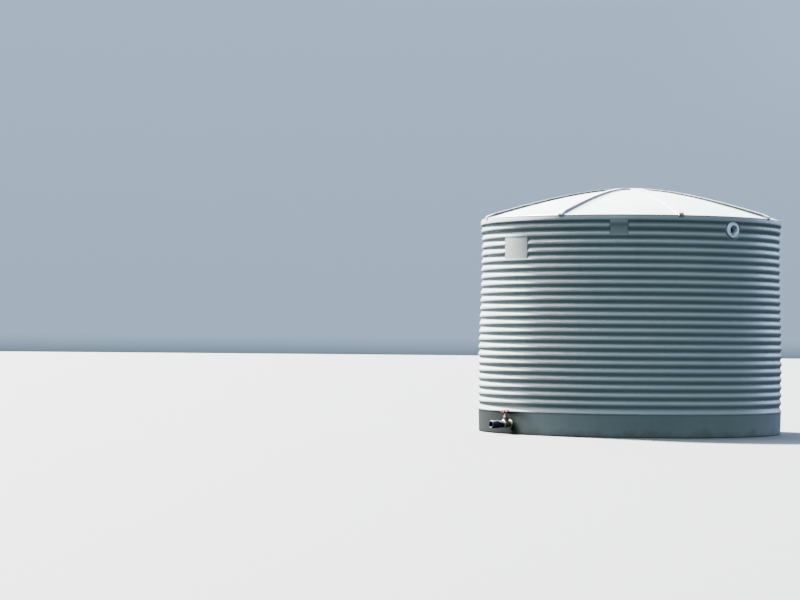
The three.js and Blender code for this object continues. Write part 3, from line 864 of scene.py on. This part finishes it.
def handwheel_parts():
    """The hub, the scalloped rim and the sloping spokes of the handwheel, in place."""
    middle = (HUB_BOTTOM + HUB_TOP) / 2
    rim_height = middle + WHEEL_RISE
    bore = STEM_RADIUS + GAP
    hub = [
        (bore, HUB_BOTTOM, 0),
        (HUB_RADIUS, HUB_BOTTOM, 0.001),
        (HUB_RADIUS, HUB_TOP, 0.001),
        (bore, HUB_TOP, 0),
    ]
    rim = []
    for turn in np.arange(16) * 2 * math.pi / 16:
        height = rim_height + 0.9 * WHEEL_RIM * math.sin(turn)
        rim.append((WHEEL_RADIUS + WHEEL_RIM * math.cos(turn), height))

    def scalloped(radius, _height, angle):
        share = 0.5 - 0.5 * math.cos(WHEEL_SCALLOPS * angle)
        return radius - SCALLOP_DEPTH * (radius > WHEEL_RADIUS) * share

    parts = [turned(rounded(hub), 64), turned(rim, 144, scalloped)]
    start, end = HUB_RADIUS - 0.003, WHEEL_RADIUS
    rings = []
    for share in np.linspace(0.0, 1.0, 9):
        reach = start + (end - start) * share
        height = middle + WHEEL_RISE * float(smooth(0.0, 1.0, share))
        half = SPOKE_HALF - SPOKE_WAIST * math.sin(math.pi * share)
        ring = []
        for turn in np.arange(12) * 2 * math.pi / 12:
            ring.append((reach, half * math.cos(turn), height + SPOKE_THICKNESS / 2 * math.sin(turn)))
        rings.append(ring)
    for k in range(WHEEL_SPOKES):
        turn = Matrix.Rotation(2 * math.pi * (k + 0.5) / WHEEL_SPOKES, 4, "Z")
        parts.append(placed(strung(rings), turn))
    return [placed(part, up_the_stem()) for part in parts]


def make_coupling(black, blue):
    start = COUPLING_BACK
    collar_end = start + COUPLING_COLLAR_LENGTH
    body_end = start + COUPLING_BODY_LENGTH
    socket = start + COUPLING_SOCKET_START
    body = [
        (COUPLING_BORE, start, 0.0005),
        (COUPLING_COLLAR_RADIUS - 0.0015, start, 0.001),
        (COUPLING_COLLAR_RADIUS, start + 0.0015, 0.001),
        (COUPLING_COLLAR_RADIUS, collar_end - 0.0015, 0.001),
        (COUPLING_COLLAR_RADIUS - 0.0015, collar_end, 0.001),
        (COUPLING_BODY_RADIUS, collar_end, 0.0005),
        (COUPLING_BODY_RADIUS, body_end, 0.001),
        (COUPLING_SOCKET, body_end, 0.001),
        (COUPLING_SOCKET, socket, 0.0005),
        (COUPLING_BORE, socket, 0.001),
    ]
    flat = with_flats(COUPLING_COLLAR_RADIUS, sides=8)

    def only_collar(radius, height, angle):
        return flat(radius, height, angle) if radius > COUPLING_BODY_RADIUS + 0.0025 else radius

    there = towards_tap()
    turned_piece(
        "coupling_collar", body, there, 192, black, "black_plastic", "coupling_body", form=only_collar
    )

    wide = COUPLING_NUT_RADIUS
    nut_start = collar_end + COUPLING_NECK_LENGTH + GAP
    nut_end = nut_start + COUPLING_NUT_LENGTH
    grip_start, grip_end = nut_start + 0.008, nut_end - 0.036
    sleeve = COUPLING_BODY_RADIUS + GAP
    nut = [(sleeve, nut_start, 0.0004), (wide - 0.004, nut_start, 0.001)]
    nut.append((wide - 0.0015, nut_start + 0.004, 0.0015))
    nut += [(wide, height, 0) for height in np.linspace(grip_start, grip_end, 14)]
    nut += [
        (wide - 0.0015, nut_end - 0.032, 0.0015),
        (wide - 0.0015, nut_end - 0.028, 0.001),
        (wide, nut_end - 0.025, 0.001),
        (wide, nut_end - 0.008, 0.002),
        (wide - 0.0045, nut_end, 0.002),
        (COUPLING_SOCKET + 0.0030, nut_end, 0.0008),
        (COUPLING_SOCKET, nut_end - 0.003, 0.0005),
        (COUPLING_SOCKET, body_end + GAP, 0.0004),
        (sleeve, body_end + GAP, 0.0004),
    ]

    def ribbed(radius, height, angle):
        if radius < wide - 0.001 or not grip_start - 0.002 < height < grip_end + 0.002:
            return radius
        after_start = smooth(grip_start, grip_start + 0.006, height)
        before_end = 1 - smooth(grip_end - 0.006, grip_end, height)
        rib = float(smooth(-0.35, 0.35, math.cos(GRIP_RIBS * angle)))
        return radius - GRIP_DEPTH * float(after_start * before_end) * (1 - rib)

    turned_piece(
        "coupling_grip", nut, there, 360, blue, "dark_blue_plastic", "coupling_nut", form=ribbed
    )


# Materials

def give(tree, target, value):
    """Links a socket to an input, or sets the input to a number or a colour."""
    if isinstance(value, bpy.types.NodeSocket):
        tree.links.new(value, target)
    else:
        target.default_value = value


def add_node(tree, kind, inputs=None, **settings):
    made = tree.nodes.new(kind)
    for key, value in settings.items():
        setattr(made, key, value)
    for key, value in (inputs or {}).items():
        give(tree, made.inputs[key], value)
    return made


def with_alpha(colour):
    return colour if isinstance(colour, bpy.types.NodeSocket) else (*colour, 1.0)


class Look:
    """A material under construction: its nodes, and short ways to add them."""

    def __init__(self, name, metallic=0.0):
        self.material = bpy.data.materials.new(name)
        self.material.use_nodes = True
        self.tree = self.material.node_tree
        self.shader = self.tree.nodes["Principled BSDF"]
        self.shader.inputs["Metallic"].default_value = metallic
        self.place = self.add("ShaderNodeTexCoord").outputs["Object"]

    def add(self, kind, inputs=None, **settings):
        return add_node(self.tree, kind, inputs, **settings)

    def noise(self, scale, detail=3.0, roughness=0.5, stretch=(1.0, 1.0, 1.0)):
        """Cloudy noise, scale features to the metre, stretched along an axis where its share is low."""
        place = self.add("ShaderNodeMapping", {"Vector": self.place, "Scale": stretch}).outputs["Vector"]
        inputs = {"Vector": place, "Scale": scale, "Detail": detail, "Roughness": roughness}
        return self.add("ShaderNodeTexNoise", inputs).outputs["Fac"]

    def ramp(self, value, low, high, to_low=0.0, to_high=1.0):
        inputs = {"Value": value, "From Min": low, "From Max": high, "To Min": to_low, "To Max": to_high}
        return self.add("ShaderNodeMapRange", inputs, interpolation_type="SMOOTHSTEP").outputs["Result"]

    def plus(self, first, second):
        return self.add("ShaderNodeMath", {0: first, 1: second}, operation="ADD").outputs[0]

    def times(self, first, second):
        return self.add("ShaderNodeMath", {0: first, 1: second}, operation="MULTIPLY").outputs[0]

    def blend(self, share, first, second):
        """second over first, by share. Each is a colour or a socket."""
        inputs = {0: share, 6: with_alpha(first), 7: with_alpha(second)}
        return self.add("ShaderNodeMix", inputs, data_type="RGBA").outputs[2]

    def height(self):
        return self.add("ShaderNodeSeparateXYZ", {0: self.place}).outputs["Z"]

    def facing(self, direction):
        """How far the surface faces a fixed direction, from 1 to -1."""
        normal = self.add("ShaderNodeNewGeometry").outputs["Normal"]
        inputs = {0: normal, 1: direction}
        return self.add("ShaderNodeVectorMath", inputs, operation="DOT_PRODUCT").outputs["Value"]

    def facing_up(self):
        return self.facing((0.0, 0.0, 1.0))

    def from_axis(self):
        """The distance from the tank's axis."""
        inputs = {0: self.place, 1: (1.0, 1.0, 0.0)}
        level = self.add("ShaderNodeVectorMath", inputs, operation="MULTIPLY").outputs["Vector"]
        return self.add("ShaderNodeVectorMath", {0: level}, operation="LENGTH").outputs["Value"]

    def beside_rib(self, rib, width):
        """1 at the foot of a rib, on the side of the greater angle, and 0 at that width from it."""
        place = self.add("ShaderNodeSeparateXYZ", {0: self.place}).outputs
        angle = self.add("ShaderNodeMath", {0: place["Y"], 1: place["X"]}, operation="ARCTAN2").outputs[0]
        past = self.add("ShaderNodeMath", {0: angle, 1: rib}, operation="SUBTRACT").outputs[0]
        away = self.times(past, self.from_axis())
        return self.times(self.ramp(away, width, 0.02), self.ramp(away, 0.0, 0.004))

    def colour(self, value):
        give(self.tree, self.shader.inputs["Base Color"], with_alpha(value))

    def shine(self, value):
        give(self.tree, self.shader.inputs["Specular IOR Level"], value)

    def roughness(self, value):
        give(self.tree, self.shader.inputs["Roughness"], value)

    def bump(self, *layers):
        """Each layer is (height socket, depth in metres)."""
        normal = None
        for socket, depth in layers:
            inputs = {"Height": socket, "Distance": depth, "Strength": 1.0}
            if normal is not None:
                inputs["Normal"] = normal
            normal = self.add("ShaderNodeBump", inputs).outputs["Normal"]
        self.tree.links.new(normal, self.shader.inputs["Normal"])


def polyethylene(name, lee_shade_strength=0.0, rib_shadow_strength=0.0):
    """Moulded pale grey-green plastic: cloudy, with a little dust on top, splashed soil at the foot, a
    darker band at the foot, and painted shadow on the band where it faces the key light. The second
    argument is how much painted shade lies on steep sides that face away from the key light, and the third
    how much painted shadow lies beside one rib."""
    look = Look(name)
    clouds = look.noise(0.9, 4.0, 0.55)
    colour = look.blend(look.ramp(clouds, 0.35, 0.68), (0.178, 0.20, 0.194), (0.202, 0.225, 0.219))
    speckle = look.noise(38.0, 5.0, 0.6)
    colour = look.blend(look.ramp(speckle, 0.5, 0.75, 0.0, 0.25), colour, (0.16, 0.18, 0.175))
    streaks = look.noise(9.0, 4.0, 0.6, (1.0, 1.0, 0.05))
    colour = look.blend(look.ramp(streaks, 0.56, 0.78, 0.0, 0.32), colour, (0.125, 0.14, 0.13))
    patches = look.ramp(look.noise(5.0, 5.0), 0.3, 0.7, 0.1, 0.5)
    dust = look.times(look.ramp(look.facing_up(), 0.25, 0.95), patches)
    colour = look.blend(dust, colour, (0.22, 0.225, 0.208))
    # The band at the foot is darker and rougher, in cloudy patches.
    foot_band_darkening = look.ramp(look.height(), BAND_TOP + 0.03, BAND_TOP - 0.03, 0.0, 0.80)
    foot_band_darkening = look.times(foot_band_darkening, look.ramp(look.noise(2.2, 5.0, 0.6), 0.25, 0.7, 0.75, 1.0))
    colour = look.blend(foot_band_darkening, colour, (0.105, 0.122, 0.115))
    edge = look.ramp(look.noise(7.0, 5.0, 0.6, (1.0, 1.0, 0.5)), 0.2, 0.8, -0.05, 0.06)
    soil = look.ramp(look.plus(look.height(), edge), 0.10, 0.0, 0.0, 0.6)
    colour = look.blend(soil, colour, (0.08, 0.069, 0.048))
    # Painted shadow: the band is made nearly black, and less shiny, on the side that faces the key light.
    sunny = look.ramp(look.facing(pointing(KEY_HEADING)), -0.12, 0.16)
    painted_band_shade = look.times(look.ramp(foot_band_darkening, 0.0, 0.5), sunny)
    colour = look.blend(painted_band_shade, colour, (0.0135, 0.0162, 0.0158))
    look.shine(look.ramp(painted_band_shade, 0.0, 1.0, 0.5, 0.0))
    # Painted shade: dark colour on steep sides that face away from the key light, as strong as the second
    # argument, ending towards the rim.
    steep = look.ramp(look.facing_up(), 0.9, 0.6)
    lee_shade = look.times(look.ramp(look.facing(-pointing(KEY_HEADING)), 0.0, 0.32), steep)
    lee_shade = look.times(lee_shade, look.ramp(look.noise(18.0, 4.0), 0.2, 0.7, 0.75, 1.0))
    lee_shade = look.times(look.times(lee_shade, lee_shade_strength), look.ramp(look.from_axis(), *PAINTED_SHADE_END))
    colour = look.blend(lee_shade, colour, PAINTED_SHADE)
    # Painted shadow: a dark strip on the roof beside one rib, on its side of the greater angle, fading
    # towards the axis.
    painted_rib_shadow = look.times(look.beside_rib(SHADOWED_RIB, RIB_SHADOW_WIDTH), look.ramp(look.from_axis(), 0.15, 0.75))
    look.colour(look.blend(look.times(painted_rib_shadow, rib_shadow_strength), colour, PAINTED_SHADE))
    rough = look.ramp(look.noise(3.0, 4.0), 0.3, 0.7, 0.30, 0.42)
    look.roughness(look.plus(rough, look.times(foot_band_darkening, 0.45)))
    look.bump((look.noise(2.6, 2.0), 0.006), (look.noise(260.0, 2.0), 0.00025))
    return look.material


def white_plastic(name, clean, stained):
    look = Look(name)
    stains = look.ramp(look.noise(24.0, 5.0, 0.6), 0.5, 0.8, 0.0, 0.4)
    look.colour(look.blend(stains, clean, stained))
    look.roughness(look.ramp(look.noise(60.0), 0.3, 0.7, 0.3, 0.5))
    look.bump((look.noise(500.0), 0.0001))
    return look.material


def moulded_plastic(name, dark, pale):
    """Dark moulded plastic with a matt bloom of dust and weather."""
    look = Look(name)
    bloom = look.ramp(look.noise(45.0, 5.0, 0.65), 0.42, 0.75, 0.0, 0.7)
    colour = look.blend(bloom, dark, pale)
    patches = look.ramp(look.noise(80.0, 4.0), 0.35, 0.7, 0.05, 0.5)
    dust = look.times(look.ramp(look.facing_up(), 0.3, 1.0), patches)
    look.colour(look.blend(dust, colour, (0.020, 0.018, 0.016)))
    look.roughness(look.ramp(look.noise(70.0), 0.3, 0.7, 0.58, 0.8))
    look.shine(0.25)
    look.bump((look.noise(900.0), 0.0001))
    return look.material


def bronze():
    """Sand cast bronze, gone brown, with dark hollows and a trace of green."""
    look = Look("bronze", metallic=0.4)
    hollows = look.ramp(look.noise(60.0, 6.0, 0.6), 0.35, 0.7)
    brown = look.blend(hollows, (0.092, 0.058, 0.042), (0.044, 0.029, 0.022))
    green = look.ramp(look.noise(95.0, 5.0, 0.7), 0.58, 0.75, 0.0, 0.5)
    look.colour(look.blend(green, brown, (0.034, 0.048, 0.040)))
    look.roughness(look.ramp(look.noise(120.0, 4.0), 0.3, 0.7, 0.50, 0.80))
    look.bump((look.noise(700.0, 3.0), 0.0005), (look.noise(90.0, 2.0), 0.0008))
    return look.material


def bright_brass():
    look = Look("bright_brass", metallic=1.0)
    stains = look.ramp(look.noise(90.0, 5.0, 0.6), 0.5, 0.78, 0.0, 0.6)
    look.colour(look.blend(stains, (0.92, 0.84, 0.66), (0.40, 0.31, 0.20)))
    look.roughness(look.ramp(look.noise(150.0, 4.0), 0.3, 0.7, 0.18, 0.42))
    look.bump((look.noise(400.0, 2.0, stretch=(1.0, 8.0, 1.0)), 0.0001))
    return look.material


def red_paint():
    """Dull red paint on a casting, faded in patches and chipped to dark rust."""
    look = Look("red_paint")
    patches = look.ramp(look.noise(70.0, 4.0), 0.35, 0.7)
    faded = look.blend(patches, (0.080, 0.005, 0.007), (0.105, 0.010, 0.011))
    chips = look.ramp(look.noise(210.0, 5.0, 0.65), 0.60, 0.64)
    look.colour(look.blend(chips, faded, (0.040, 0.020, 0.014)))
    look.roughness(look.ramp(look.noise(160.0), 0.3, 0.7, 0.60, 0.85))
    look.shine(0.25)
    look.bump((chips, -0.0003), (look.noise(600.0), 0.0002))
    return look.material


def zinc():
    look = Look("zinc", metallic=1.0)
    dull = look.ramp(look.noise(130.0, 5.0, 0.6), 0.4, 0.75)
    look.colour(look.blend(dull, (0.50, 0.50, 0.51), (0.22, 0.19, 0.16)))
    look.roughness(look.ramp(look.noise(220.0, 4.0), 0.3, 0.7, 0.3, 0.6))
    look.bump((look.noise(900.0, 3.0), 0.0001))
    return look.material


# The stage

def make_floor():
    """A level disc that shows shadows and throws no light back at the tank."""
    floor = make_object("stage_floor", *turned(bar(FLOOR_REACH, -FLOOR_DEPTH, 0.0), 96))
    look = Look("stage_floor")
    look.colour(FLOOR_COLOUR)
    look.roughness(0.9)
    floor.data.materials.append(look.material)
    floor.visible_diffuse = False
    floor.visible_glossy = False


def make_world():
    """A soft dome, brightest overhead and behind the tank, over a dim ground."""
    world = bpy.data.worlds.new("studio")
    bpy.context.scene.world = world
    world.use_nodes = True
    tree = world.node_tree

    def add(kind, inputs=None, **settings):
        return add_node(tree, kind, inputs, **settings)

    def rise(value, low, high, top=1.0):
        inputs = {"Value": value, "From Min": low, "From Max": high, "To Min": 0.0, "To Max": top}
        return add("ShaderNodeMapRange", inputs, interpolation_type="SMOOTHSTEP").outputs["Result"]

    def times(first, second):
        return add("ShaderNodeMath", {0: first, 1: second}, operation="MULTIPLY").outputs[0]

    direction = add("ShaderNodeTexCoord").outputs["Generated"]
    height = add("ShaderNodeSeparateXYZ", {0: direction}).outputs["Z"]

    def along(heading):
        """How far a direction in the dome points along a level heading, from 1 to -1."""
        inputs = {0: direction, 1: pointing(heading)}
        return add("ShaderNodeVectorMath", inputs, operation="DOT_PRODUCT").outputs["Value"]

    share = add("ShaderNodeMapRange", {"Value": height, "From Min": -1.0}).outputs["Result"]
    base = add("ShaderNodeValToRGB", {"Fac": share})
    stops = base.color_ramp.elements
    stops[0].position, stops[0].color = 0.0, GROUND_LIGHT
    stops[1].position, stops[1].color = 1.0, ZENITH_LIGHT
    for position, colour in SKY_STOPS:
        stops.new((position + 1) / 2).color = colour

    low = rise(height, *GLOW_BOTTOM, 1.0 - LOW_GLOW)
    low = add("ShaderNodeMath", {0: low, 1: LOW_GLOW}, operation="ADD").outputs[0]
    band = times(times(low, rise(height, *GLOW_TOP)), rise(height, HORIZON, 0.0))
    glow = times(times(band, rise(along(CAMERA_HEADING), *GLOW_SPREAD)), GLOW_STRENGTH)
    edge = times(rise(along(EDGE_HEADING), *EDGE_SPREAD), rise(height, *EDGE_BOTTOM))
    edge = times(edge, rise(height, *EDGE_TOP))

    sky = base.outputs["Color"]
    for share, light in ((glow, GLOW_LIGHT), (times(edge, EDGE_STRENGTH), EDGE_LIGHT)):
        lit = add("ShaderNodeMix", {0: share, 6: sky, 7: light}, data_type="RGBA", blend_type="ADD")
        lit.clamp_factor = False
        sky = lit.outputs[2]
    tree.links.new(sky, tree.nodes["Background"].inputs["Color"])
    tree.nodes["Background"].inputs["Strength"].default_value = SKY_STRENGTH


def make_light(name, strength, heading, rise, softness, colour):
    """A distant light, given by where it comes from and how wide it is."""
    data = bpy.data.lights.new(name, "SUN")
    data.energy = strength
    data.angle = softness
    data.color = colour
    light = bpy.data.objects.new(name, data)
    light.rotation_mode = "QUATERNION"
    light.rotation_quaternion = pointing(heading, rise).to_track_quat("Z", "Y")
    bpy.context.scene.collection.objects.link(light)


def make_lights():
    """A key from behind on the left, as seen by the camera, and a wide soft one beside it."""
    make_light("key", KEY_STRENGTH, KEY_HEADING, KEY_RISE, KEY_SOFTNESS, KEY_COLOUR)
    make_light("side", SIDE_STRENGTH, SIDE_HEADING, SIDE_RISE, SIDE_SOFTNESS, SIDE_COLOUR)


def make_camera():
    data = bpy.data.cameras.new("camera")
    data.sensor_width = SENSOR_WIDTH
    data.lens = SENSOR_WIDTH * FOCAL_PIXELS / FRAME_WIDTH
    data.clip_end = 400.0
    camera = bpy.data.objects.new("camera", data)
    level = pointing(CAMERA_HEADING, CAMERA_PITCH).to_track_quat("-Z", "Y").to_matrix().to_4x4()
    camera.matrix_world = Matrix.Translation(CAMERA_PLACE) @ level @ Matrix.Rotation(CAMERA_ROLL, 4, "Z")
    bpy.context.scene.collection.objects.link(camera)
    bpy.context.scene.camera = camera


make_camera()
make_world()
make_lights()
make_floor()

plastic = polyethylene("polyethylene")
# The ribs' plastic has painted shade on its steep sides away from the key light.
rib_plastic = polyethylene("rib_polyethylene", lee_shade_strength=0.97)
# The roof's plastic has a painted shadow beside one rib.
roof_plastic = polyethylene("roof_polyethylene", rib_shadow_strength=0.85)
white = white_plastic("white_plastic", (0.97, 0.97, 0.98), (0.78, 0.77, 0.72))
# Painted shade: a darker, bluer copy of the white plastic for the overflow's tube, so that its bore looks
# shaded.
shaded_lining = white_plastic("shaded_white_plastic", (0.62, 0.63, 0.74), (0.42, 0.42, 0.46))
brass = bright_brass()
black = moulded_plastic("black_plastic", (0.006, 0.006, 0.007), (0.009, 0.009, 0.0105))
blue = moulded_plastic("dark_blue_plastic", (0.011, 0.013, 0.028), (0.015, 0.017, 0.034))
cast_bronze, red, steel = bronze(), red_paint(), zinc()

make_wall(plastic)
make_roof(roof_plastic)
make_ribs(rib_plastic)
make_crown(plastic)
make_overflow(white, shaded_lining, black)
make_outlet(black, brass)
make_valve_body(cast_bronze)
make_bonnet(cast_bronze)
make_handwheel(red, steel)
make_coupling(black, blue)

# Solids inside the tank and the coupling, which keep their own shape.
inner = {"tank_floor": plastic, "overflow_backnut": white, "outlet_nipple": brass, "outlet_backnut": black}
for name, look in inner.items():
    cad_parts[name].material_slots[0].material = look

bpy.context.view_layer.update()
